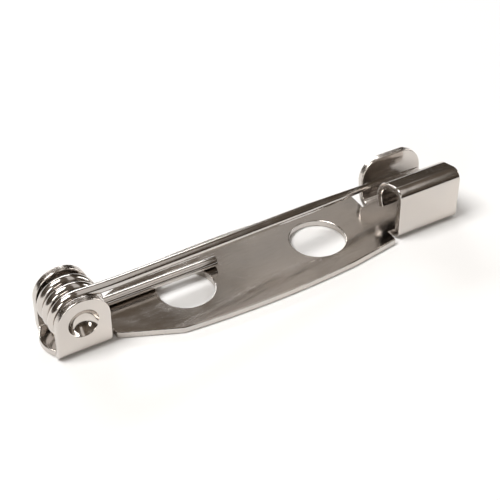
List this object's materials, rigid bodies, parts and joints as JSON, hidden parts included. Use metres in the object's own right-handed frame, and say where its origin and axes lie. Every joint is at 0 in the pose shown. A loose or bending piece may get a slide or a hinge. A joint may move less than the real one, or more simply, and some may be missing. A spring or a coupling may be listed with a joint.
{
  "type": "brooch pin finding",
  "caption": "Bar brooch back: a pressed steel bar with two holes, hinge ears, a folded catch and a guard tab, carrying a coiled spring-wire pin.",
  "frame": {"origin": "centre of the bar's flat underside, the face that is glued or sewn down", "axes": "+X along the bar from the hinge to the catch, +Z out of the bar on the pin's side, the catch's wall on the -Y side"},
  "size_m": [0.0253, 0.006, 0.0038],
  "materials": {
    "nickel_sheet": "polished nickel plating on pressed steel sheet",
    "nickel_wire": "polished nickel plating on drawn spring wire"
  },
  "bodies": {
    "bar": {"base_bar": "nickel_sheet"},
    "pin": {"spring_pin": "nickel_wire"}
  },
  "joints": [
    {"name": "pin_swing", "type": "hinge", "parent": "bar", "child": "pin", "pos_m": [-0.01095, 0, 0.00212], "axis": [0, -1, 0], "range_deg": [0, 110]}
  ]
}
